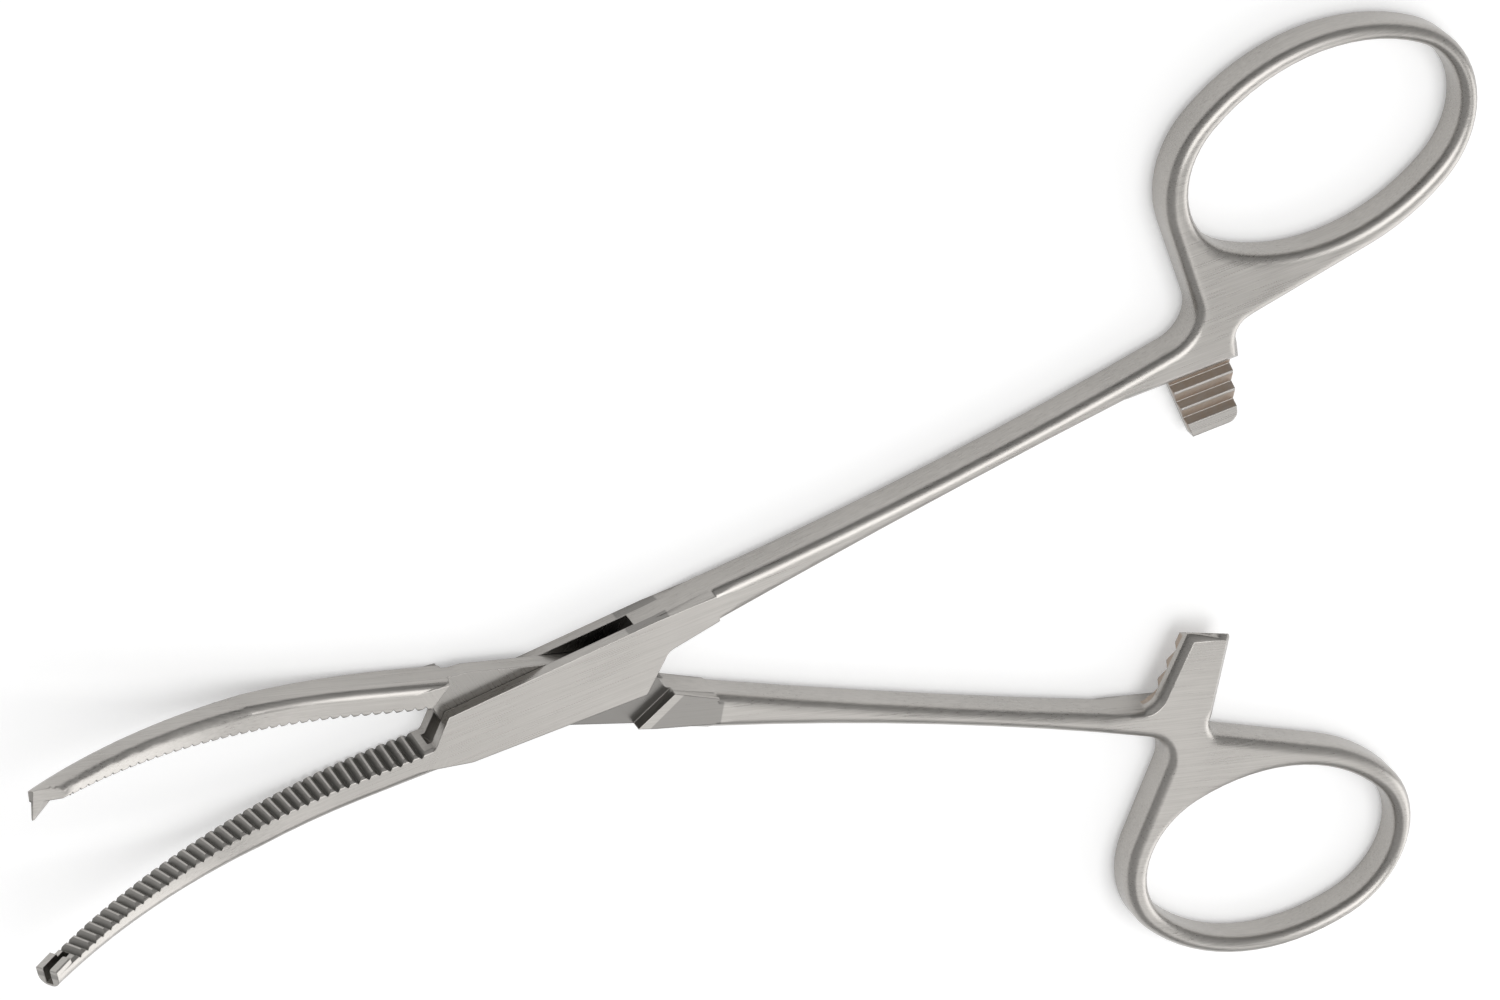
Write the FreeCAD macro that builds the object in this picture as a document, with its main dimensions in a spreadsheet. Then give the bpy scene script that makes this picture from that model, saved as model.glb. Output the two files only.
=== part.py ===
import FreeCAD, Part
import math
import os
import re
import Sketcher

# Curved hemostatic forceps with a box lock, one-by-two teeth and a three-step ratchet.
# Millimetres. The origin lies on the pin's axis in the plane the instrument rests on,
# +X runs to the finger rings and +Z is up. Each half is drawn in its closed position,
# with the meeting plane of the jaws at y = 0, and is then turned to the open rest pose.

doc = FreeCAD.newDocument("forceps")
sheet = doc.addObject("Spreadsheet::Sheet", "Sizes")

sizes = {
    # whole instrument
    "thickness": 3.6,
    "open_angle": 18.8,
    "face_gap": 0.03,
    # box lock, distances from the pin
    "lock_front_top": 9.7,
    "lock_front_top_side": 2.46,
    "lock_front_face": 11.35,
    "lock_front_end": 13.5,
    "lock_front_root": 8.5,
    "lock_front_root_side": 2.8,
    "lock_rear_end": 7.5,
    "lock_rear_side": 2.95,
    "lock_rear_root": 10.1,
    "lock_root_side": 0.47,
    "lock_root_round": 1.2,
    "lock_outer": 9.5,
    "lock_outer_side": 3.88,
    "block_end": 15.0,
    "block_inner_side": 1.2,
    "block_outer_side": 4.6,
    # shoulders that carry the full thickness of each half
    "rear_shoulder_outer": 7.9,
    "rear_shoulder_outer_side": 3.6,
    "rear_shoulder_inner": 10.2,
    "rear_shoulder_inner_side": 1.1,
    "front_shoulder_outer": 9.8,
    "front_shoulder_outer_side": 3.2,
    "front_shoulder_inner": 11.76,
    "tenon_height": 1.5,
    "slot_clearance": 0.05,
    # pin
    "pin_diameter": 2.4,
    "pin_clearance": 0.04,
    # shank
    "neck_corner_side": 11.0,
    "neck_slope": 11.0,
    "neck_round": 3.2,
    "shank_outer_bow": 350.0,
    "shank_inner_bow": 830.0,
    "shank_straight": 4.8,
    "shank_inner_side": 7.2,
    "edge_bevel": 0.6,
    # finger ring
    "ring_reach": 75.6,
    "ring_side": 24.1,
    "ring_tilt": 2.5,
    "ring_length": 30.6,
    "ring_width": 22.6,
    "ring_end_round": 9.5,
    "ring_wall": 2.07,
    "opening_shift": 0.3,
    "web_slope": 11.5,
    "web_round": 1.8,
    # ratchet
    "arm_to_ring": 9.9,
    "arm_width": 6.4,
    "arm_lean": 14.6,
    "arm_overlap": 0.15,
    "arm_clearance": 0.04,
    "arm_root_round": 1.4,
    "arm_corner_round": 0.9,
    "tooth_pitch": 1.88,
    "tooth_depth": 0.6,
    "tooth_ramp": 1.25,
    "tooth_land": 0.14,
    "tooth_count": 3,
    "tooth_start": 6.75,
    # jaws
    "jaw_width": 2.55,
    "jaw_root": 8.5,
    "jaw_taper_start": 28.0,
    "tip_reach": 47.9,
    "tip_width": 1.45,
    "tip_thickness": 2.1,
    "bend_start": 18.4,
    "bend_radius": 51.7,
    "belly_start": 14.0,
    "jaw_back_round": 0.9,
    "jaw_face_bevel": 0.25,
    # serrations
    "groove_pitch": 0.95,
    "groove_width": 0.8,
    "groove_depth": 0.45,
    "groove_end": 46.0,
    "groove_begin": 12.6,
    # tip teeth
    "lip_length": 1.9,
    "lip_height": 0.3,
    "lip_round": 0.16,
    "lip_slot": 0.72,
    "lip_slot_depth": 2.75,
    "lip_slot_floor": 0.22,
    "tip_relief_length": 3.2,
    "tip_relief_depth": 0.35,
    "tip_tooth_length": 1.52,
    "tip_tooth_base": 2.5,
    "tip_tooth_thickness": 0.62,
    "tip_tooth_point": 0.12,
}
for row, (name, value) in enumerate(sizes.items(), start=1):
    sheet.set("A%d" % row, name)
    sheet.set("B%d" % row, repr(value))
    sheet.setAlias("B%d" % row, name)
doc.recompute()


# the ratchet arm and the straight end of the shank are placed from the ring
arm_back = "( ring_reach - arm_to_ring )"
arm_front_root = f"( {arm_back} - arm_width )"
shank_inner_end = f"( {arm_front_root} - shank_straight )"

# turn of the curved jaw from where its bend starts to its tip
tip_angle = "asin(( tip_reach - bend_start ) / bend_radius)"


def bound(text):
    # spell an expression with plain size names the way the document wants it
    return re.sub(r"[a-z_]+", lambda word: "Sizes." * (word[0] in sizes) + word[0], text)


def value_of(text):
    return float(sheet.evalExpression(bound(text)))


def size(name):
    return float(sheet.get(name))


def plane_of(body, role):
    return next(o for o in body.Origin.OriginFeatures if o.Role == role)


def sketch_on(body, name, role, offset=("0", "0", "0")):
    sketch = body.newObject("Sketcher::SketchObject", name)
    sketch.AttachmentSupport = [(plane_of(body, role), "")]
    sketch.MapMode = "FlatFace"
    sketch.AttachmentOffset = FreeCAD.Placement(
        FreeCAD.Vector(*[value_of(text) for text in offset]), FreeCAD.Rotation())
    for axis, text in zip("xyz", offset):
        if text != "0":
            sketch.setExpression("AttachmentOffset.Base." + axis, bound(text))
    return sketch


def bulge_point(start, end, radius):
    # a point of the arc from start to end; a positive radius curves to the left
    chord = end.sub(start)
    left = FreeCAD.Vector(-chord.y, chord.x, 0)
    left.normalize()
    half = chord.Length / 2
    sagitta = abs(radius) - math.sqrt(max(radius * radius - half * half, 0.0))
    middle = start.add(end).multiply(0.5)
    return middle.sub(left.multiply(math.copysign(sagitta, radius)))


def draw_outline(sketch, corners, arcs=None):
    # closed outline through corners given as expressions; arcs names the radius of
    # the arc that leaves a corner, or the edge that the arc is tangent to
    arcs = arcs or {}
    points = [FreeCAD.Vector(value_of(x), value_of(y), 0) for x, y in corners]
    count = len(points)
    starts = []
    ends = []
    for index in range(count):
        start = points[index]
        end = points[(index + 1) % count]
        if index in arcs:
            sign, text = arcs[index]
            middle = bulge_point(start, end, sign * value_of(text))
            geo = sketch.addGeometry(Part.Arc(start, middle, end))
            forward = sketch.getPoint(geo, 1).distanceToPoint(start) < 1e-6
            starts.append((geo, 1 if forward else 2))
            ends.append((geo, 2 if forward else 1))
            label = "radius_%d" % index
            radius = sketch.addConstraint(Sketcher.Constraint("Radius", geo, value_of(text)))
            sketch.renameConstraint(radius, label)
            sketch.setExpression("Constraints." + label, bound(text))
        else:
            geo = sketch.addGeometry(Part.LineSegment(start, end))
            starts.append((geo, 1))
            ends.append((geo, 2))
    for index in range(count):
        following = (index + 1) % count
        sketch.addConstraint(Sketcher.Constraint("Coincident", *ends[index], *starts[following]))
    for index, (x, y) in enumerate(corners):
        for kind, text in (("DistanceX", x), ("DistanceY", y)):
            label = "%s_%d" % (kind, index)
            place = sketch.addConstraint(
                Sketcher.Constraint(kind, -1, 1, *starts[index], value_of(text)))
            sketch.renameConstraint(place, label)
            sketch.setExpression("Constraints." + label, bound(text))
    return sketch


def pad(body, name, sketch, length, flipped=False):
    feature = body.newObject("PartDesign::Pad", name)
    feature.Profile = sketch
    feature.setExpression("Length", bound(length))
    feature.Reversed = flipped
    doc.recompute()
    return feature


def pocket(body, name, sketch, length, flipped=False):
    feature = body.newObject("PartDesign::Pocket", name)
    feature.Profile = sketch
    feature.setExpression("Length", bound(length))
    feature.Reversed = flipped
    doc.recompute()
    return feature


def edges_where(shape, test):
    return ["Edge%d" % (i + 1) for i, edge in enumerate(shape.Edges) if test(edge)]


def dress_edges(body, name, kind, edges, amount):
    base = body.Tip
    feature = body.newObject("PartDesign::" + kind, name)
    feature.Base = (base, edges)
    feature.setExpression("Radius" if kind == "Fillet" else "Size", bound(amount))
    doc.recompute()
    return feature


def round_edges(body, name, edges, radius):
    return dress_edges(body, name, "Fillet", edges, radius)


def upright_near(x, y, reach=0.4):
    def test(edge):
        box = edge.BoundBox
        apart = math.hypot(box.Center.x - x, box.Center.y - y)
        return box.ZLength > 0.5 and box.XLength < 0.01 and box.YLength < 0.01 and apart < reach
    return test


def flat_at(level):
    def test(edge):
        box = edge.BoundBox
        return box.ZLength < 1e-4 and abs(box.ZMin - level) < 1e-4
    return test


def oval(length, width, end_round):
    # expressions for four tangent arcs about the origin, two ends and two flatter sides
    reach = f"( {length} / 2 - {end_round} )"
    rise = f"( {width} / 2 - {end_round} )"
    drop = f"( ( {reach} * {reach} - {rise} * {rise} ) / ( 2 * {rise} ) )"
    return reach, drop, f"( {width} / 2 + {drop} )"


def ring_sketch(body, name, shift, length, width, end_round):
    reach, drop, side_round = oval(length, width, end_round)
    lever = f"( {side_round} - {end_round} )"
    join_x = f"( {reach} * ( 1 + {end_round} / {lever} ) )"
    join_y = f"( {drop} * {end_round} / {lever} )"
    centre = ("ring_reach + " + shift, "ring_side + " + shift, "0")
    sketch = sketch_on(body, name, "XY_Plane", centre)
    sketch.setExpression("AttachmentOffset.Rotation.Angle", bound("ring_tilt"))
    return draw_outline(sketch, [
        (join_x, join_y),
        (f"- {join_x}", join_y),
        (f"- {join_x}", f"- {join_y}"),
        (join_x, f"- {join_y}"),
    ], {0: (1, side_round), 1: (1, end_round), 2: (1, side_round), 3: (1, end_round)})


def make_handle(prefix):
    body = doc.addObject("PartDesign::Body", prefix + "_handle")

    # shank with the web that carries it into the ring
    reach, drop, side_round = oval("ring_length", "ring_width", "ring_end_round")
    neck_x = f"( ring_reach - {reach} * cos(ring_tilt) - ring_end_round * cos(neck_slope) )"
    neck_y = f"( ring_side - {reach} * sin(ring_tilt) - ring_end_round * sin(neck_slope) )"
    corner_x = f"( {neck_x} + ( {neck_y} - neck_corner_side ) * tan(neck_slope) )"
    web_x = f"( ring_reach - {drop} * sin(ring_tilt) + {side_round} * sin(web_slope) )"
    web_y = f"( ring_side + {drop} * cos(ring_tilt) - {side_round} * cos(web_slope) )"
    web_low = f"( {web_y} - ( {web_x} - {arm_back} ) * tan(web_slope) )"
    sketch = sketch_on(body, prefix + "_shank_outline", "XY_Plane")
    draw_outline(sketch, [
        ("lock_outer", "lock_outer_side"),
        ("block_end", "block_outer_side"),
        (corner_x, "neck_corner_side"),
        (neck_x, neck_y),
        ("ring_reach", "ring_side"),
        (web_x, web_y),
        (arm_back, web_low),
        (arm_back, "shank_inner_side"),
        (arm_front_root, "shank_inner_side"),
        (shank_inner_end, "shank_inner_side"),
        ("block_end", "block_inner_side"),
        ("lock_rear_root", "lock_root_side"),
    ], {1: (1, "shank_outer_bow"), 9: (1, "shank_inner_bow")})
    pad(body, prefix + "_shank", sketch, "thickness")

    ring = ring_sketch(body, prefix + "_ring_outline", "0",
                       "ring_length", "ring_width", "ring_end_round")
    pad(body, prefix + "_ring", ring, "thickness")

    # ratchet arm, half the thickness and flush with one face
    run = "( arm_root_round * tan(45 - arm_lean / 2) )"
    arm_front = f"( {arm_front_root} + ( shank_inner_side + arm_overlap ) * tan(arm_lean) )"
    sketch = sketch_on(body, prefix + "_arm_outline", "XY_Plane")
    draw_outline(sketch, [
        (f"{arm_front_root} - {run}", "shank_inner_side"),
        (f"{arm_front_root} - {run}", "shank_inner_side + edge_bevel"),
        (arm_back, "shank_inner_side + edge_bevel"),
        (arm_back, "- arm_overlap"),
        (arm_front, "- arm_overlap"),
        (f"{arm_front_root} + {run} * sin(arm_lean)", f"shank_inner_side - {run} * cos(arm_lean)"),
    ], {5: (1, "arm_root_round")})
    pad(body, prefix + "_arm", sketch, "thickness / 2 - arm_clearance")

    opening = ring_sketch(body, prefix + "_opening_outline", "opening_shift",
                          "( ring_length - 2 * ring_wall )", "( ring_width - 2 * ring_wall )",
                          "( ring_end_round - ring_wall )")
    pocket(body, prefix + "_opening", opening, "thickness", True)

    corner = (value_of(corner_x), size("neck_corner_side"))
    round_edges(body, prefix + "_neck_blend",
                edges_where(body.Tip.Shape, upright_near(*corner)), "neck_round")
    corner = (value_of(arm_back), value_of(web_low))
    round_edges(body, prefix + "_web_blend",
                edges_where(body.Tip.Shape, upright_near(*corner)), "web_round")
    corner = (value_of(arm_back), -size("arm_overlap"))
    round_edges(body, prefix + "_arm_corner",
                edges_where(body.Tip.Shape, upright_near(*corner)), "arm_corner_round")

    rims = edges_where(body.Tip.Shape, flat_at(0.0))
    rims += edges_where(body.Tip.Shape, flat_at(size("thickness")))
    dress_edges(body, prefix + "_edges", "Chamfer", rims, "edge_bevel")

    # ratchet teeth, each a long ramp that falls towards the arm's end and a steeper
    # flank that faces the ring
    face = "thickness / 2 - arm_clearance"
    tooth = sketch_on(body, prefix + "_tooth_outline", "YZ_Plane", ("0", "0", arm_front_root))
    draw_outline(tooth, [
        ("tooth_start", face),
        ("tooth_start - tooth_ramp", f"{face} - tooth_depth"),
        ("tooth_start - tooth_pitch + tooth_land", face),
    ])
    cut = pocket(body, prefix + "_tooth", tooth, "2 * arm_width", True)
    row = body.newObject("PartDesign::LinearPattern", prefix + "_teeth")
    row.Originals = [cut]
    row.Direction = (tooth, ["H_Axis"])
    row.Reversed = True
    row.Mode = "Spacing"
    row.setExpression("Offset", bound("tooth_pitch"))
    row.setExpression("Occurrences", bound("tooth_count"))
    body.Tip = row
    doc.recompute()
    return body


def make_lock(prefix):
    # block that the slot or the tenon is cut from, one outline for both halves
    body = doc.addObject("PartDesign::Body", prefix + "_lock")
    sketch = sketch_on(body, prefix + "_lock_outline", "XY_Plane")
    draw_outline(sketch, [
        ("- lock_front_top", "lock_front_top_side"),
        ("lock_outer", "lock_outer_side"),
        ("block_end", "block_outer_side - edge_bevel"),
        ("block_end", "block_inner_side + edge_bevel / 2"),
        ("lock_rear_root", "lock_root_side"),
        ("lock_rear_end", "- lock_rear_side"),
        ("- lock_front_root", "- lock_front_root_side"),
        ("- lock_front_end", "jaw_back_round - jaw_width"),
        ("- lock_front_face", "- face_gap"),
    ])
    pad(body, prefix + "_block", sketch, "thickness")
    root = edges_where(body.Tip.Shape, upright_near(size("lock_rear_root"), size("lock_root_side")))
    round_edges(body, prefix + "_root_blend", root, "lock_root_round")
    return body


def make_window(name, level, height):
    # the space between a half's rear and front shoulders, over part of its thickness
    body = doc.addObject("PartDesign::Body", name)
    rear_run = "( rear_shoulder_inner - rear_shoulder_outer )"
    rear_rise = "( rear_shoulder_outer_side - rear_shoulder_inner_side )"
    front_run = "( front_shoulder_inner - front_shoulder_outer )"
    margin = "jaw_width"
    above = f"( rear_shoulder_outer_side + {margin} )"
    below = f"( front_shoulder_outer_side + {margin} )"
    rear_lean = f"{rear_run} / {rear_rise}"
    front_lean = f"{front_run} / front_shoulder_outer_side"
    sketch = sketch_on(body, name + "_outline", "XY_Plane", ("0", "0", level))
    draw_outline(sketch, [
        (f"rear_shoulder_outer - {margin} * {rear_lean}", above),
        (f"- front_shoulder_inner - {above} * {front_lean}", above),
        (f"- front_shoulder_outer + {margin} * {front_lean}", f"- {below}"),
        (f"rear_shoulder_outer + ( rear_shoulder_outer_side + {below} ) * {rear_lean}", f"- {below}"),
    ])
    pad(body, name + "_space", sketch, height)
    return body


def tip_sketch(body, name, level, start, end, inner, outer):
    # rectangle in the plane across the tip, start and end measured back from its end
    # face, inner and outer measured from the jaw's hollow side
    centre = ("- bend_start", "thickness + bend_radius", level)
    sketch = sketch_on(body, name, "XZ_Plane", centre)
    sketch.setExpression("AttachmentOffset.Rotation.Angle", bound(f"- {tip_angle}"))
    return draw_outline(sketch, [
        (start, f"- bend_radius - ( {inner} )"),
        (start, f"- bend_radius - ( {outer} )"),
        (end, f"- bend_radius - ( {outer} )"),
        (end, f"- bend_radius - ( {inner} )"),
    ])


def make_jaw(prefix, side):
    # side is -1 for the jaw below the meeting plane and 1 for the jaw above it
    body = doc.addObject("PartDesign::Body", prefix + "_jaw")
    flipped = side > 0
    sign = "-" if side < 0 else ""

    # side view, drawn about the centre of the hollow curve
    level = "face_gap" if side < 0 else "- face_gap"
    sketch = sketch_on(body, prefix + "_jaw_profile", "XZ_Plane",
                       ("- bend_start", "thickness + bend_radius", level))
    deep = "( bend_radius + tip_thickness )"
    run = f"( bend_start - belly_start + {deep} * sin({tip_angle}) )"
    rise = f"( bend_radius + thickness - {deep} * cos({tip_angle}) )"
    belly = f"( ( {run} * {run} + {rise} * {rise} ) / ( 2 * {rise} ) )"
    draw_outline(sketch, [
        ("bend_start - jaw_root", "- bend_radius"),
        ("0", "- bend_radius"),
        (f"- bend_radius * sin({tip_angle})", f"- bend_radius * cos({tip_angle})"),
        (f"- {deep} * sin({tip_angle})", f"- {deep} * cos({tip_angle})"),
        ("bend_start - belly_start", "- bend_radius - thickness"),
        ("bend_start - jaw_root", "- bend_radius - thickness"),
    ], {1: (-1, "bend_radius"), 3: (1, belly)})
    pad(body, prefix + "_jaw_blank", sketch, "jaw_width - face_gap", flipped)

    # plan taper from the outer side
    taper = "( ( jaw_width - tip_width ) / ( tip_reach - jaw_taper_start ) )"
    sketch_taper = sketch_on(body, prefix + "_taper_outline", "XY_Plane")
    beyond = "( tip_reach + jaw_width )"
    draw_outline(sketch_taper, [
        ("- jaw_taper_start", f"{sign} jaw_width"),
        (f"- {beyond}", f"{sign} ( jaw_width - ( {beyond} - jaw_taper_start ) * {taper} )"),
        (f"- {beyond}", f"{sign} 2 * jaw_width"),
        ("- jaw_taper_start", f"{sign} 2 * jaw_width"),
    ])
    pocket(body, prefix + "_taper", sketch_taper, "bend_radius / 2", True)

    def along_back(edge):
        box = edge.BoundBox
        outer = side * edge.CenterOfMass.y > (size("tip_width") + size("face_gap")) / 2 + 0.2
        return outer and box.XLength > 2 * size("jaw_width")
    round_edges(body, prefix + "_jaw_back",
                edges_where(body.Tip.Shape, along_back), "jaw_back_round")

    def along_face(edge):
        box = edge.BoundBox
        on_face = abs(edge.CenterOfMass.y - side * size("face_gap")) < 1e-3 and box.YLength < 1e-3
        return on_face and box.XLength > size("jaw_width")
    dress_edges(body, prefix + "_jaw_bevel", "Chamfer",
                edges_where(body.Tip.Shape, along_face), "jaw_face_bevel")

    # cross serrations, a straight row towards the lock and a curved row towards the tip
    # the V is drawn to twice its depth, so that it starts clear of the face
    groove = sketch_on(body, prefix + "_groove_outline", "XY_Plane", ("0", "0", "- thickness"))
    middle = "- bend_start" if side < 0 else "- bend_start + groove_pitch / 2"
    draw_outline(groove, [
        (f"{middle} - groove_width", f"{sign} ( face_gap - groove_depth )"),
        (f"{middle} + groove_width", f"{sign} ( face_gap - groove_depth )"),
        (middle, f"{sign} ( face_gap + groove_depth )"),
    ])
    cut = pocket(body, prefix + "_groove", groove, "3 * thickness", True)
    curved = body.newObject("PartDesign::PolarPattern", prefix + "_curved_row")
    curved.Originals = [cut]
    curved.Axis = (sketch, ["N_Axis"])
    curved.Reversed = True
    reach = "( bend_radius + thickness / 2 )"
    curved.Mode = "Spacing"
    turn = f"( groove_pitch / {reach} * 1 rad )"
    curved.setExpression("Offset", bound(turn))
    spread = "asin(( groove_end - bend_start ) / bend_radius)"
    curved.setExpression("Occurrences", bound(f"floor({spread} / {turn}) + 1"))
    body.Tip = curved
    doc.recompute()
    straight = body.newObject("PartDesign::LinearPattern", prefix + "_straight_row")
    straight.Originals = [cut]
    straight.Direction = (groove, ["H_Axis"])
    straight.Mode = "Spacing"
    straight.setExpression("Offset", bound("groove_pitch"))
    straight.setExpression("Occurrences", bound("floor(( bend_start - groove_begin ) / groove_pitch) + 1"))
    body.Tip = straight
    doc.recompute()
    return body


def add_lips(body):
    # two teeth with a slot between them
    lips = tip_sketch(body, "lips_outline", "face_gap + jaw_face_bevel", "0", "lip_length",
                      "0", "tip_thickness")
    pad(body, "lips", lips, "face_gap + jaw_face_bevel + lip_height", True)

    def on_crest(edge):
        box = edge.BoundBox
        return abs(box.YMin - size("lip_height")) < 1e-4 and box.YLength < 1e-4
    round_edges(body, "lip_rounds", edges_where(body.Tip.Shape, on_crest), "lip_round")
    slot = tip_sketch(body, "lip_slot_outline", "- 2 * lip_height", "- lip_length", "lip_slot_depth",
                      "( tip_thickness - lip_slot ) / 2", "( tip_thickness + lip_slot ) / 2")
    pocket(body, "lip_slot", slot, "2 * lip_height + tip_width - lip_slot_floor", True)


def add_tooth(body):
    # one tooth on a relieved end, which closes between the two
    relief = tip_sketch(body, "relief_outline", "- face_gap - tip_relief_depth", "- tip_relief_length",
                        "tip_relief_length", "- thickness", "2 * thickness")
    pocket(body, "relief", relief, "tip_relief_depth + face_gap + jaw_width", True)
    half = "tip_tooth_thickness / 2"
    root = tip_sketch(body, "tooth_root", "- face_gap - tip_relief_depth - lip_round", "0",
                      "tip_tooth_base", f"tip_thickness / 2 - {half}", f"tip_thickness / 2 + {half}")
    half = "tip_tooth_point / 2"
    point = tip_sketch(body, "tooth_point", "tip_tooth_length - face_gap - tip_relief_depth",
                       "0", "2 * tip_tooth_point",
                       f"tip_thickness / 2 - {half}", f"tip_thickness / 2 + {half}")
    tooth = body.newObject("PartDesign::AdditiveLoft", "tip_tooth")
    tooth.Profile = root
    tooth.Sections = [point]
    tooth.Ruled = True
    doc.recompute()


def join(name, members):
    fused = doc.addObject("Part::MultiFuse", name)
    fused.Shapes = members
    fused.Refine = True
    return fused


def cut_from(name, base, tool):
    cut = doc.addObject("Part::Cut", name)
    cut.Base = base
    cut.Tool = tool
    cut.Refine = True
    return cut


def add_cylinder(name, radius):
    solid = doc.addObject("Part::Cylinder", name)
    solid.setExpression("Radius", bound(radius))
    solid.setExpression("Height", bound("thickness"))
    return solid


def turn_over(body):
    # the other half's forging is the same one, turned over about the X axis
    body.Placement = FreeCAD.Placement(
        FreeCAD.Vector(0, 0, size("thickness")), FreeCAD.Rotation(FreeCAD.Vector(1, 0, 0), 180))
    body.setExpression("Placement.Base.z", bound("thickness"))


def open_half(part, label, side):
    part.Label = label
    part.Placement = FreeCAD.Placement(
        FreeCAD.Vector(), FreeCAD.Rotation(FreeCAD.Vector(0, 0, side), size("open_angle") / 2))
    part.setExpression("Placement.Rotation.Angle", bound("open_angle / 2"))


# pin, its ends ground flush with the cheeks
lock_pin = add_cylinder("pin", "pin_diameter / 2")
lock_pin.Label = "lock_pin"

# half with the slotted box, whose ring stands on the +Y side
box_handle = make_handle("box")
box_lock = make_lock("box")
box_jaw = make_jaw("box", -1)
add_lips(box_jaw)
slot = make_window("box_slot", "( thickness - tenon_height ) / 2 - slot_clearance",
                   "tenon_height + 2 * slot_clearance")
box_forging = join("box_forging", [box_handle, box_lock, box_jaw])
box_slotted = cut_from("box_slotted", box_forging, slot)
box_half = cut_from("box_half", box_slotted, add_cylinder("cheek_hole", "pin_diameter / 2"))
open_half(box_half, "box_half", 1)

# half with the tenon, whose ring stands on the -Y side
tenon_handle = make_handle("tenon")
tenon_lock = make_lock("tenon")
tenon_jaw = make_jaw("tenon", 1)
add_tooth(tenon_jaw)
above = make_window("tenon_above", "( thickness + tenon_height ) / 2", "thickness")
below = make_window("tenon_below", "( thickness - tenon_height ) / 2 - thickness", "thickness")
for body in (tenon_handle, tenon_lock, above, below):
    turn_over(body)
tenon_forging = join("tenon_forging", [tenon_handle, tenon_lock, tenon_jaw])
tenon_upper = cut_from("tenon_upper", tenon_forging, above)
tenon_lower = cut_from("tenon_lower", tenon_upper, below)
bore = add_cylinder("tenon_bore", "pin_diameter / 2 + pin_clearance")
tenon_half = cut_from("tenon_half", tenon_lower, bore)
open_half(tenon_half, "tenon_half", -1)

doc.recompute()
failed = [o.Name for o in doc.Objects if "Invalid" in o.State or "Error" in o.State]
if failed:
    raise RuntimeError("failed objects: " + ", ".join(failed))

pieces = [box_half, tenon_half, lock_pin]
for piece in pieces:
    if piece.Shape.isNull() or not piece.Shape.isValid() or len(piece.Shape.Solids) != 1:
        raise RuntimeError("unsound shape: " + piece.Label)

os.makedirs("parts", exist_ok=True)
for piece in pieces:
    piece.Shape.exportStep("parts/%s.step" % piece.Label)
    print("%s: volume %.1f" % (piece.Label, piece.Shape.Volume))
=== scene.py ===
import bmesh
import bpy
import math
from mathutils import Matrix, Vector


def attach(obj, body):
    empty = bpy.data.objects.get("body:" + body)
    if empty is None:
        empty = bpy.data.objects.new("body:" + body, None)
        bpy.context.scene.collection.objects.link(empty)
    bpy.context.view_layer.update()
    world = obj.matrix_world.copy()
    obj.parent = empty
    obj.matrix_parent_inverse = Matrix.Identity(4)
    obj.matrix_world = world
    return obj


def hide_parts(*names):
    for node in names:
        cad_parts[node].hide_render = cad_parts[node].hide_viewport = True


# Curved hemostatic forceps in satin steel, on a white table under soft light.
# Metres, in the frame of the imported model: pin on the Z axis, finger rings towards +X.

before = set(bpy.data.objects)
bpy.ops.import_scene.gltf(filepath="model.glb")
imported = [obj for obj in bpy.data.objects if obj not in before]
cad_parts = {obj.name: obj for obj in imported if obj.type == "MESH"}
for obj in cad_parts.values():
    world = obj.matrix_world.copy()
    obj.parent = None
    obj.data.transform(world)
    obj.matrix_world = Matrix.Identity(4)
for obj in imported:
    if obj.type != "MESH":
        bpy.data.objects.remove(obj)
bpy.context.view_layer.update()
print("frame loaded:", ", ".join(sorted(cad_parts)))


# camera

camera = {
    "azimuth": 124.63,      # degrees about Z from +X, where the camera stands
    "elevation": 50.665,
    "roll": 138.78,
    "distance": 0.4194,
    "aim": (0.01803, 0.01395, 0.0018),
    "lens": 120.8,
    "sensor": 36,
    "nearest": 0.01,
}


def addCamera(user):
    azimuth = math.radians(user["azimuth"])
    elevation = math.radians(user["elevation"])
    roll = math.radians(user["roll"])
    back = Vector((
        math.cos(elevation) * math.cos(azimuth),
        math.cos(elevation) * math.sin(azimuth),
        math.sin(elevation),
    ))
    level = Vector((0, 0, 1)).cross(back).normalized()
    upright = back.cross(level)
    right = math.cos(roll) * level + math.sin(roll) * upright
    up = math.cos(roll) * upright - math.sin(roll) * level
    data = bpy.data.cameras.new("camera")
    data.lens = user["lens"]
    data.sensor_width = user["sensor"]
    data.clip_start = user["nearest"]
    seat = bpy.data.objects.new("camera", data)
    place = Matrix((right, up, back)).transposed().to_4x4()
    place.translation = Vector(user["aim"]) + back * user["distance"]
    seat.matrix_world = place
    bpy.context.scene.collection.objects.link(seat)
    bpy.context.scene.camera = seat


addCamera(camera)
print("camera placed")


# shader helpers

class Wire:
    # an output socket that takes part in sums as a number would

    def __init__(self, tree, socket):
        self.tree = tree
        self.socket = socket

    def plug(self, place):
        self.tree.links.new(self.socket, place)

    def join(self, operation, first, second):
        node = self.tree.nodes.new("ShaderNodeMath")
        node.operation = operation
        for place, value in zip(node.inputs, (first, second)):
            fill(place, value)
        return Wire(self.tree, node.outputs[0])

    def __add__(self, other):
        return self.join("ADD", self, other)

    def __radd__(self, other):
        return self.join("ADD", other, self)

    def __sub__(self, other):
        return self.join("SUBTRACT", self, other)

    def __rsub__(self, other):
        return self.join("SUBTRACT", other, self)

    def __mul__(self, other):
        return self.join("MULTIPLY", self, other)

    def __rmul__(self, other):
        return self.join("MULTIPLY", other, self)

    def __truediv__(self, other):
        return self.join("DIVIDE", self, other)

    def __abs__(self):
        return self.join("ABSOLUTE", self, 0.0)


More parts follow.
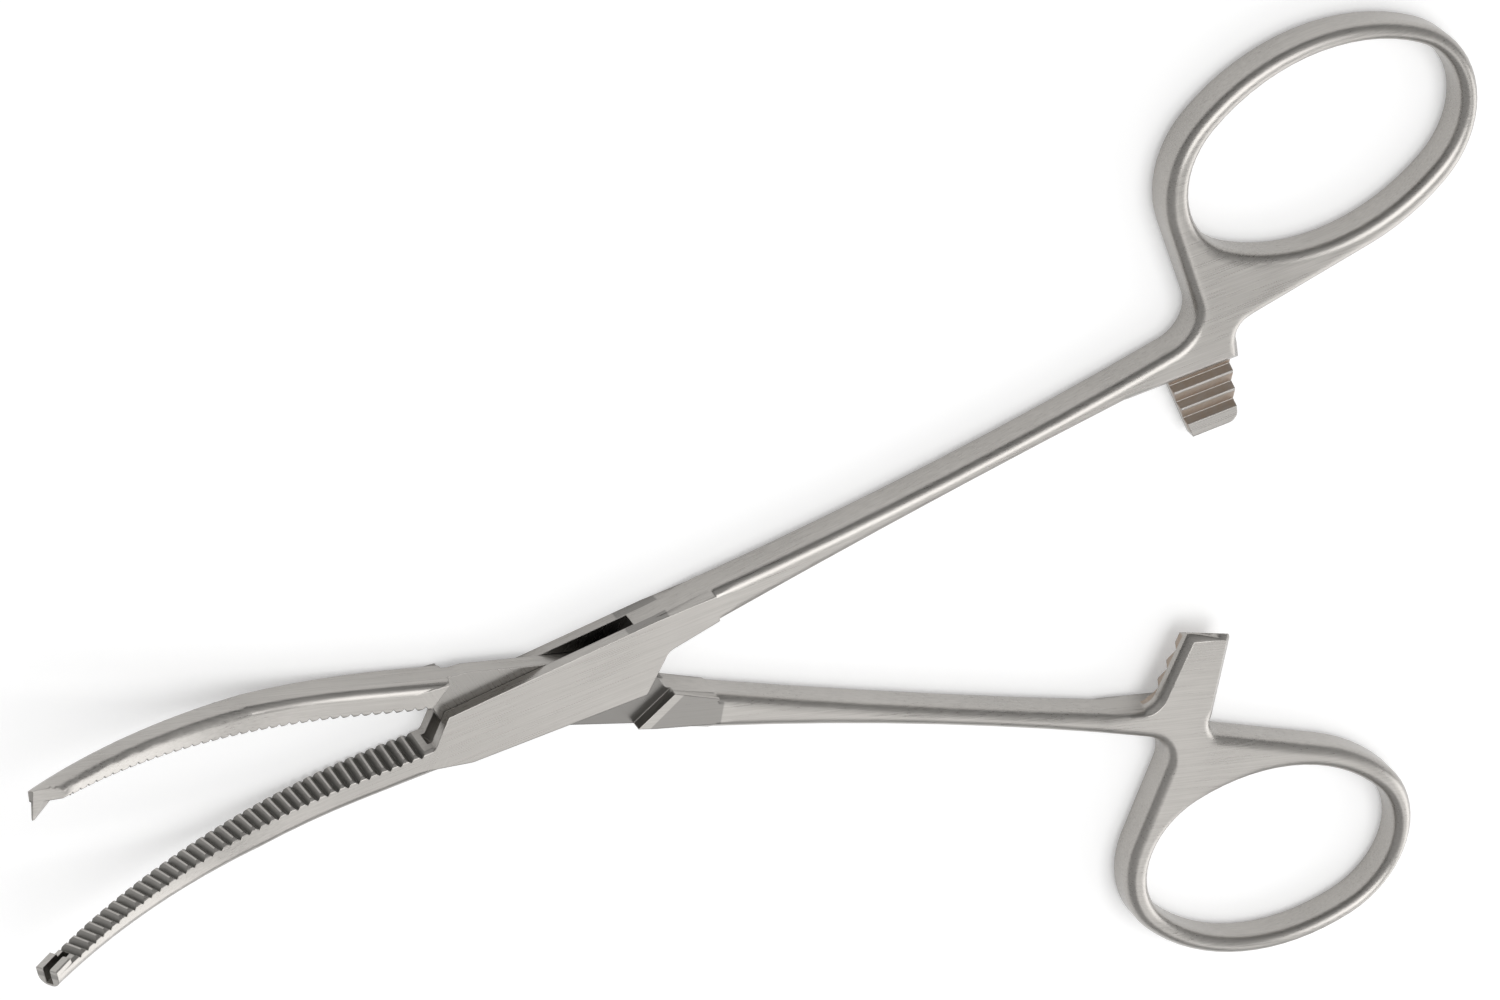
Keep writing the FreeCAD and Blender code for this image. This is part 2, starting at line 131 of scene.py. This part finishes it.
def fill(place, value):
    # gives an input socket its wire or its plain value
    if isinstance(value, Wire):
        value.plug(place)
    else:
        place.default_value = value


class Finish:
    # the nodes of a material or a world under construction

    def __init__(self, owner):
        owner.use_nodes = True
        self.tree = owner.node_tree
        self.tree.nodes.clear()

    def add(self, kind, settings=None, values=None, output=0):
        node = self.tree.nodes.new("ShaderNode" + kind)
        for name, value in (settings or {}).items():
            setattr(node, name, value)
        for name, value in (values or {}).items():
            fill(node.inputs[name], value)
        return Wire(self.tree, node.outputs[output]) if len(node.outputs) else None

    def split(self, vector):
        node = self.add("SeparateXYZ", {}, {"Vector": vector}).socket.node
        return [Wire(self.tree, part) for part in node.outputs]

    def rise(self, value, low, high):
        # 0 below low, 1 above high, smooth between
        return self.add("MapRange", {"interpolation_type": "SMOOTHSTEP"}, {
            "Value": value, "From Min": low, "From Max": high})

    def band(self, value, low, high, soft):
        # 1 between low and high, falling to 0 over soft on each side
        return self.rise(value, low - soft, low) * (1 - self.rise(value, high, high + soft))

    def tint(self, factor, first, second):
        return self.add("Mix", {"data_type": "RGBA"}, {
            "Factor": factor, "A": first, "B": second}, output=2)


# places on a half as it was forged, before it was turned to its place at rest, in millimetres:
# x from the pin towards the ring, y across towards the ring's side, level up from its lower face

millimetre = 0.001
restTurn = 9.4      # degrees that each half is turned from closed

forging = {
    "stock": 3.6,      # thickness
    # bands: from, to and how softly they end
    "lock": (-12.4, 13.5, 0.2),
    "frontEdge": (-12.6, -10.6, 0.3),
    "tenonLevels": (0.95, 2.65, 0.02),
    "shoulder": (7.0, 10.6, 0.2),
    "ratchet": (58.6, 66.2, 0.2),
    "ratchetAcross": (0.4, 7.3, 0.2),
    "ratchetLevels": (1.21, 1.69, 0.04),      # below the teeth's crests and above their floors
    "arm": (57.0, 66.5, 0.5),
    # rises: where they begin and where they are full
    "behindPin": (-1.0, 1.0),
    "facetStart": (12.1, 12.3),
    "facetEnd": (15.4, 15.6),
    "facetDepth": (0.05, 0.1),
    "jaw": (11.4, 11.9),      # ahead of the pin
    "faceDepth": (0.5, 0.6),
    "belowCrests": (0.035, 0.07),
    "inGrooves": (0.08, 0.42),
    "armRoot": (7.5, 8.5),
    "rims": (15.5, 17.0),
    "besidePin": (1.35, 1.6),
    # how far the surface faces up or down, 1 for level
    "flat": (0.75, 0.9),
    "notUpright": (0.3, 0.5),
    "notTeeth": (0.5, 0.65),
}


# satin steel

steel = {
    "light": (0.455, 0.437, 0.414, 1),
    "dark": (0.36, 0.345, 0.326, 1),
    # the ground colour also serves as painted shade on the tenon, the shoulders and the facet
    "ground": (0.21, 0.203, 0.193, 1),
    "stain": (0.35, 0.265, 0.20, 1),
    "shade": (0.17, 0.165, 0.155, 1),
    "contrast": (0.36, 0.64),      # noise values that are wholly dark and wholly light
    "streakShare": 0.6,      # of the noise in the colour; clouds make up the rest
    "streakLength": 0.007,
    "streakWidth": 0.00014,
    "streakDepth": 0.000005,
    "streakStrength": 0.6,
    "streakSlant": 52,      # degrees from lengthwise on the ground faces of the lock
    "frontSlanted": 0.6,
    "cloudSize": 0.009,
    "blotchSize": 1 / 1400,
    "tenonGroundAndShade": 0.5,
    "tenonGroundAndShadeBehind": 0.42,      # more than ahead of the pin
    "shoulderPaintedShade": 0.8,
    "facetPaintedShade": 0.7,
    "facetSlant": 0.87,      # millimetres along for each one across
    "stained": 0.62,
    "blotched": 0.7,
    "toothShade": 0.7,
    "grooveShade": 0.25,
    "roughness": 0.30,
    "streakRough": 0.18,
    "cloudRough": 0.12,
    "stainRough": 0.2,
    "shadeRough": 0.12,
    "edgeRadius": 0.00012,
    "rimRadius": 0.0009,      # on shanks and rings, whose rims are polished round
    "toothRadius": 0.00004,
}


def brushing(look, place, user, slant):
    # streaks along the half, or at a slant to it
    turned = look.add("Mapping", {"vector_type": "POINT"}, {
        "Vector": place, "Rotation": (0, 0, math.radians(slant))})
    across = 1 / user["streakWidth"]
    stretch = look.add("Mapping", {"vector_type": "POINT"}, {
        "Vector": turned, "Scale": (1 / user["streakLength"], across, across)})
    return look.add("TexNoise", {}, {
        "Vector": stretch, "Scale": 1.0, "Detail": 3.0, "Roughness": 0.6})


def satinSteel(name, side, user):
    # side is 1 for the half whose ring stands towards +Y, and -1 for the other,
    # which is the same forging turned over
    material = bpy.data.materials.new(name)
    look = Finish(material)
    along = look.add("Mapping", {"vector_type": "POINT"}, {
        "Vector": look.add("TexCoord", output=3),
        "Rotation": (0, 0, math.radians(-side * restTurn))})
    x, y, z = look.split(along)
    x, y, z = x / millimetre, y * (side / millimetre), z / millimetre
    level = z if side > 0 else forging["stock"] - z
    facing = abs(look.split(look.add("TexCoord", output=1))[2])
    flat = look.rise(facing, *forging["flat"])
    upright = 1 - look.rise(facing, *forging["notUpright"])
    betweenCheeks = look.band(level, *forging["tenonLevels"])

    # the tenon's faces and the ground front edge are brushed across
    tenon = look.band(x, *forging["lock"]) * betweenCheeks * flat
    front = look.band(x, *forging["frontEdge"]) * flat
    slanted = look.add("Math", {"operation": "MAXIMUM", "use_clamp": True}, {
        0: tenon, 1: front * user["frontSlanted"]})
    lengthwise = brushing(look, along, user, 0)
    slanting = brushing(look, along, user, -side * user["streakSlant"])
    streak = lengthwise * (1 - slanted) + slanting * slanted
    cloud = look.add("TexNoise", {}, {
        "Vector": along, "Scale": 1 / user["cloudSize"], "Detail": 4.0})
    dark, light = user["contrast"]
    spread = look.add("MapRange", {}, {
        "Value": user["streakShare"] * streak + (1 - user["streakShare"]) * cloud,
        "From Min": dark, "From Max": light})
    colour = look.tint(spread, user["dark"], user["light"])

    # cross-ground tenon faces are darker than the polished stock, partly for their grinding and
    # partly as painted shade in the recess between the cheeks; the upright shoulders beside them
    # get painted shade
    behind = look.rise(x, *forging["behindPin"])
    shoulder = look.band(x, *forging["shoulder"]) * upright * (1 - betweenCheeks)
    ground = (tenon * (user["tenonGroundAndShade"] + user["tenonGroundAndShadeBehind"] * behind)
              + user["shoulderPaintedShade"] * shoulder)
    if side < 0:
        # painted shade on the tilted facet behind the shoulder
        facet = (look.rise(x + user["facetSlant"] * y, *forging["facetStart"])
                 * (1 - look.rise(x, *forging["facetEnd"]))
                 * flat * (1 - look.rise(level, *forging["facetDepth"])))
        ground = ground + user["facetPaintedShade"] * facet
    # mixes in the ground colour, which is painted shade on the shoulders and the facet and
    # partly so on the tenon
    colour = look.tint(ground, colour, user["ground"])

    # brown left in the ratchet's grooves
    grooves = (look.band(x, *forging["ratchet"]) * look.band(y, *forging["ratchetAcross"])
               * look.band(level, *forging["ratchetLevels"]))
    blotch = look.add("TexNoise", {}, {
        "Vector": along, "Scale": 1 / user["blotchSize"], "Detail": 3.0})
    stain = grooves * (user["stained"] + user["blotched"] * (blotch - 0.5))
    colour = look.tint(stain, colour, user["stain"])

    # the serrated faces hold shade, most of all in their grooves
    depth = 0 - y
    teeth = (look.rise(0 - x, *forging["jaw"]) * (1 - look.rise(depth, *forging["faceDepth"]))
             * (1 - look.rise(facing, *forging["notTeeth"])))
    shade = teeth * (user["toothShade"] * look.rise(depth, *forging["belowCrests"])
                     + user["grooveShade"] * look.rise(depth, *forging["inGrooves"]))
    colour = look.tint(shade, colour, user["shade"])

    roughness = (user["roughness"] + user["streakRough"] * (streak - 0.5)
                 + user["cloudRough"] * (cloud - 0.5)
                 + user["stainRough"] * grooves + user["shadeRough"] * shade)

    # edges are rounded to three radii, and not around the pin, which is ground flush
    onArm = look.band(x, *forging["arm"]) * (1 - look.rise(y, *forging["armRoot"]))
    onRim = look.rise(x, *forging["rims"]) * (1 - onArm)
    radius = (user["edgeRadius"] + (user["rimRadius"] - user["edgeRadius"]) * onRim
              + (user["toothRadius"] - user["edgeRadius"]) * teeth)
    fromPin = look.add("VectorMath", {"operation": "LENGTH"}, {
        0: look.add("CombineXYZ", {}, {"X": x, "Y": y})}, output=1)
    rounded = look.add("Bevel", {"samples": 8}, {
        "Radius": look.rise(fromPin, *forging["besidePin"]) * radius})

    bump = look.add("Bump", {}, {
        "Strength": user["streakStrength"], "Distance": user["streakDepth"],
        "Height": streak, "Normal": rounded})
    shader = look.add("BsdfPrincipled", {}, {
        "Base Color": colour, "Metallic": 1.0, "Roughness": roughness, "Normal": bump})
    look.add("OutputMaterial", {}, {"Surface": shader})
    return material


# ground and polished halves: the forging of each half with its bevels rolled smooth

polish = {
    # levels of the bevels' edges in millimetres, and how far each edge is rolled in metres
    "rolls": (((0.6, 3.0), 0.00040), ((0.0, 3.6), 0.00020)),
    "rollSteps": 4,
    "rollFrom": 15.5,      # mm from the pin, where the block's flat faces end
    "levelWithin": 0.01,      # mm
    "rimTurn": (40, 50),      # degrees between the faces at a bevel's edge
    "armFrom": 55,      # mm, the ratchet arm, which keeps its plain edges
    "armTo": 67,
    "armRoot": 8.5,
    "teethFrom": -11.4,      # mm, the serrated face of the jaw
    "teethDepth": 0.48,
    "mergeWithin": 0.000002,
    "flatWithin": 0.3,      # degrees
    "levelFrom": 0.99,      # upward part of the normal of faces whose triangles are left alone
    "shadedFlatFrom": 0.999,
    "rolledBelow": 56,      # degrees between faces that the polishing runs over
    "filedBelow": 15,      # the same on the serrated faces, whose ridges stay sharp
    "normalWeight": 50,
}
onPlane = 0.0000001      # metres off its plane that a ground face may be


def forgedPlace(point, side):
    # the forging's millimetres, as its materials have them
    turned = Matrix.Rotation(math.radians(-side * restTurn), 3, "Z") @ point / millimetre
    return turned.x, turned.y * side, turned.z if side > 0 else forging["stock"] - turned.z


def isSharp(edge, side, user):
    x, y, level = forgedPlace((edge.verts[0].co + edge.verts[1].co) / 2, side)
    onTeeth = x < user["teethFrom"] and y > -user["teethDepth"]
    limit = user["filedBelow"] if onTeeth else user["rolledBelow"]
    return edge.calc_face_angle(math.pi) > math.radians(limit)


def rimEdges(shape, side, levels, user):
    # the edges of the bevels along shank and ring
    least, most = user["rimTurn"]
    rims = []
    for edge in shape.edges:
        start = forgedPlace(edge.verts[0].co, side)
        end = forgedPlace(edge.verts[1].co, side)
        x, y = (start[0] + end[0]) / 2, (start[1] + end[1]) / 2
        onLevel = any(abs(start[2] - level) + abs(end[2] - level) < user["levelWithin"]
                      for level in levels)
        isRim = edge.is_convex and least < math.degrees(edge.calc_face_angle(0)) < most
        onArm = user["armFrom"] < x < user["armTo"] and y < user["armRoot"]
        if onLevel and isRim and x > user["rollFrom"] and not onArm:
            rims.append(edge)
    return rims


def rollRims(shape, side, user):
    for levels, offset in user["rolls"]:
        rims = rimEdges(shape, side, levels, user)
        bmesh.ops.bevel(shape, geom=rims, offset=offset, offset_type="OFFSET",
                        segments=user["rollSteps"], profile=0.5, affect="EDGES",
                        clamp_overlap=False, material=-1)
        print("rolled edges:", len(rims))


def grindEnd(shape, end):
    # takes off what stands beyond a plane, within a box around the end to be ground
    point, normal = Vector(end["point"]), Vector(end["normal"])

    def inBox(place):
        return all(low < at < high
                   for low, at, high in zip(end["low"], place / millimetre, end["high"]))

    faces = [face for face in shape.faces if any(inBox(vert.co) for vert in face.verts)]
    edges = {edge for face in faces for edge in face.edges}
    verts = {vert for face in faces for vert in face.verts}
    bmesh.ops.bisect_plane(shape, geom=list(verts) + list(edges) + faces,
                           plane_co=point, plane_no=normal)
    centres = [(face, face.calc_center_median()) for face in shape.faces]
    beyond = [face for face, centre in centres
              if inBox(centre) and (centre - point).dot(normal) > onPlane]
    bmesh.ops.delete(shape, geom=beyond, context="FACES")
    rim = [edge for edge in shape.edges if edge.is_boundary]
    bmesh.ops.holes_fill(shape, edges=rim, sides=0)
    print("ground off:", len(beyond), "faces, rim of", len(rim))


def polishedHalf(name, node, side, material, user, ends=()):
    piece = bpy.data.objects.new(name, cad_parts[node].data.copy())
    bpy.context.scene.collection.objects.link(piece)
    shape = bmesh.new()
    shape.from_mesh(piece.data)
    bmesh.ops.remove_doubles(shape, verts=shape.verts, dist=user["mergeWithin"])
    sides = [edge for edge in shape.edges
             if min(abs(face.normal.z) for face in edge.link_faces) < user["levelFrom"]]
    bmesh.ops.dissolve_limit(shape, angle_limit=math.radians(user["flatWithin"]),
                             verts=[], edges=sides)
    rollRims(shape, side, user)
    for end in ends:
        grindEnd(shape, end)
    bmesh.ops.dissolve_degenerate(shape, edges=shape.edges, dist=user["mergeWithin"])
    for edge in shape.edges:
        edge.smooth = not isSharp(edge, side, user)
    for face in shape.faces:
        face.smooth = abs(face.normal.z) < user["shadedFlatFrom"]
    shape.to_mesh(piece.data)
    shape.free()
    weighting = piece.modifiers.new("rolled bevels", "WEIGHTED_NORMAL")
    weighting.weight = user["normalWeight"]
    weighting.keep_sharp = True
    piece.data.materials.clear()
    piece.data.materials.append(material)
    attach(piece, node)
    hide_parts(node)


# ends of the half with the tenon that are ground aslant: a point of each plane in metres, its
# outward normal, and the box in millimetres that the grinding keeps to, all at rest
toothEnd = {"point": (-0.04831, 0.0089, 0.0123), "normal": (-0.9739, -0.0633, -0.2178),
            "low": (-60, -5, 5), "high": (-44, 20, 20)}
toothInside = {"point": (-0.04795, 0.0068, 0.0120), "normal": (0.131, 0.0686, 0.989),
               "low": (-60, -5, 5), "high": (-43, 20, 20)}
toothOutside = {"point": (-0.04800, 0.0068, 0.01188), "normal": (-0.822, -0.129, -0.554),
                "low": (-60, -5, 5), "high": (-43, 20, 20)}
armEnd = {"point": (0.06231, -0.00985, 0.0036), "normal": (0.246, 0.8404, -0.4829),
          "low": (50, -14, -1), "high": (75, 5, 5)}

polishedHalf("polishedBoxHalf", "box_half", 1, satinSteel("satinSteelBox", 1, steel), polish)
polishedHalf("polishedTenonHalf", "tenon_half", -1, satinSteel("satinSteelTenon", -1, steel),
             polish, (toothEnd, toothInside, toothOutside, armEnd))
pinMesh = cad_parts["lock_pin"].data
pinMesh.materials.clear()
pinMesh.materials.append(satinSteel("satinSteelPin", 1, steel))
print("halves polished")


# table and light

studio = {
    "tableSize": 3.0,
    "tableDrop": 0.00001,      # below the forceps
    "tableColour": (0.80, 0.80, 0.80, 1),
    "tableFill": 0.30,      # what the eye and the metal see of the table beyond its own light
    "skyHigh": 0.47,
    "skyLow": 0.16,
    "skyUp": (0.10, -0.33, 1.0),      # leans away from the camera: dark behind it, pale beyond
    "skyFrom": -0.05,      # heights along skyUp at which the sky is low and high
    "skyTo": 0.24,
    "lamps": {
        "key": {"toward": (0.36, -0.62, 0.77), "distance": 0.8, "size": 0.4, "power": 0.40},
        "overhead": {"toward": (0.12, 0.12, 1.0), "distance": 0.9, "size": 0.8, "power": 3.8},
        "beyond": {"toward": (0.85, -0.52, 0.25), "distance": 0.9, "size": 0.75, "power": 2.6},
    },
}
white = (1, 1, 1, 1)


def seenDirectly(look):
    # 1 for rays from the eye and for those that metal or glass sends on
    return (look.add("LightPath", output=0) + look.add("LightPath", output=3)
            + look.add("LightPath", output=6))


def addTable(user):
    bpy.ops.mesh.primitive_plane_add(
        size=user["tableSize"], location=(0, 0, -user["tableDrop"]))
    table = bpy.context.active_object
    table.name = "table"
    surface = bpy.data.materials.new("tableWhite")
    look = Finish(surface)
    shader = look.add("BsdfPrincipled", {}, {
        "Base Color": user["tableColour"], "Roughness": 1.0, "Specular IOR Level": 0.0,
        "Emission Color": white, "Emission Strength": seenDirectly(look) * user["tableFill"]})
    look.add("OutputMaterial", {}, {"Surface": shader})
    table.data.materials.append(surface)


def addWorld(user):
    # a dark horizon under a pale sky, and plain white where the camera looks past the table
    world = bpy.data.worlds.new("studio")
    bpy.context.scene.world = world
    look = Finish(world)
    height = look.add("VectorMath", {"operation": "DOT_PRODUCT"}, {
        0: look.add("TexCoord", output=0), 1: user["skyUp"]}, output=1)
    rise = look.rise(height, user["skyFrom"], user["skyTo"])
    sky = user["skyLow"] + rise * (user["skyHigh"] - user["skyLow"])
    toEye = look.add("LightPath", output=0)
    light = look.add("Background", {}, {
        "Color": white, "Strength": toEye + (1 - toEye) * sky})
    look.add("OutputWorld", {}, {"Surface": light})


def addLamp(name, user):
    toward = Vector(user["toward"]).normalized()
    data = bpy.data.lights.new(name, "AREA")
    data.shape = "DISK"
    data.size = user["size"]
    data.energy = user["power"]
    lamp = bpy.data.objects.new(name, data)
    lamp.location = toward * user["distance"]
    lamp.rotation_euler = toward.to_track_quat("Z", "Y").to_euler()
    bpy.context.scene.collection.objects.link(lamp)


addTable(studio)
addWorld(studio)
for name, lamp in studio["lamps"].items():
    addLamp(name, lamp)
bpy.context.scene.view_settings.view_transform = "Standard"
print("table and light placed")
